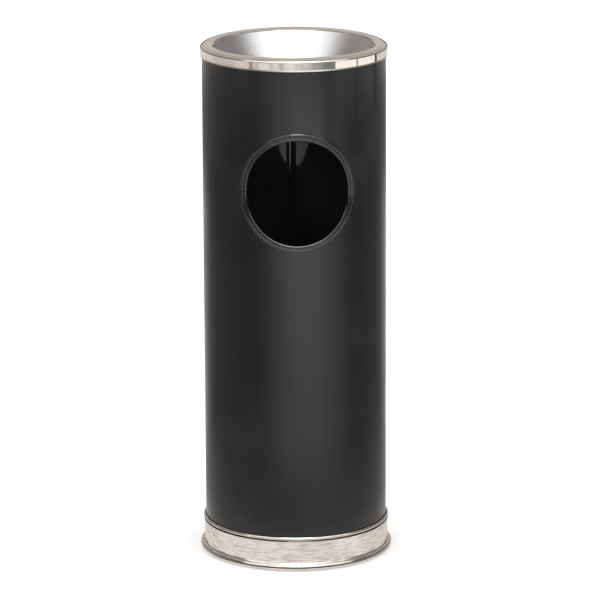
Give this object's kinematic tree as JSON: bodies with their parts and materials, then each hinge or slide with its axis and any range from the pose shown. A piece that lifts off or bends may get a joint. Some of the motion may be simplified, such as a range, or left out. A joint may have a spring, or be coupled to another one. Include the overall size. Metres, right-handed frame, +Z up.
{
  "type": "ashtray bin",
  "caption": "Slim free-standing steel waste cylinder with a round side opening, a lift-off rim and ash bowl, and a lift-out liner with a wire bail.",
  "frame": {"origin": "on the floor under the middle of the bin, at the bottom centre of the bounding box", "axes": "+Z up along the cylinder's axis; the waste opening faces -Y and +X is to its right as seen from the front"},
  "size_m": [0.2424, 0.2424, 0.648],
  "materials": {
    "black_paint": "satin-gloss black powder coat with faint smudges",
    "black_vinyl": "soft black vinyl, slight sheen",
    "nickel_plate": "warm polished plating with hazy smudges",
    "satin_aluminium": "spun, brushed round its axis",
    "galvanised_steel": "dull galvanised sheet",
    "zinc_plate": "bright zinc-plated steel",
    "black_rubber": "matt black rubber"
  },
  "bodies": {
    "body": {"body_shell": "black_paint", "opening_trim": "black_vinyl", "base_ring": "nickel_plate", "clamp_ring": "zinc_plate", "base_pan": "black_paint", "foot_1": "black_rubber", "foot_2": "black_rubber", "foot_3": "black_rubber", "foot_4": "black_rubber", "foot_washer_1": "zinc_plate", "foot_washer_2": "zinc_plate", "foot_washer_3": "zinc_plate", "foot_washer_4": "zinc_plate", "foot_screw_1": "zinc_plate", "foot_screw_2": "zinc_plate", "foot_screw_3": "zinc_plate", "foot_screw_4": "zinc_plate", "foot_nut_1": "zinc_plate", "foot_nut_2": "zinc_plate", "foot_nut_3": "zinc_plate", "foot_nut_4": "zinc_plate"},
    "ash_top": {"rim_ring": "nickel_plate", "ash_bowl": "satin_aluminium", "locating_collar": "black_paint", "rim_stud_1": "zinc_plate", "rim_stud_2": "zinc_plate", "rim_stud_3": "zinc_plate", "rim_stud_4": "zinc_plate", "rim_nut_1": "zinc_plate", "rim_nut_2": "zinc_plate", "rim_nut_3": "zinc_plate", "rim_nut_4": "zinc_plate"},
    "liner": {"liner_wall": "galvanised_steel", "liner_bottom": "galvanised_steel", "liner_ear_left": "galvanised_steel", "liner_ear_right": "galvanised_steel", "ear_rivet_1": "galvanised_steel", "ear_rivet_2": "galvanised_steel", "ear_rivet_3": "galvanised_steel", "ear_rivet_4": "galvanised_steel"},
    "bail": {"liner_bail": "zinc_plate"}
  },
  "joints": [
    {"name": "top_lift", "type": "slide", "parent": "body", "child": "ash_top", "axis": [0, 0, 1], "range_m": [0, 0.72]},
    {"name": "liner_lift", "type": "slide", "parent": "body", "child": "liner", "axis": [0, 0, 1], "range_m": [0, 0.648]},
    {"name": "bail_swing", "type": "hinge", "parent": "liner", "child": "bail", "pos_m": [0, 0, 0.3585], "axis": [1, 0, 0], "range_deg": [0, 184.4]}
  ],
  "couplings": [
    {"joint": "liner_lift", "follows": "top_lift", "ratio": 0.9}
  ]
}
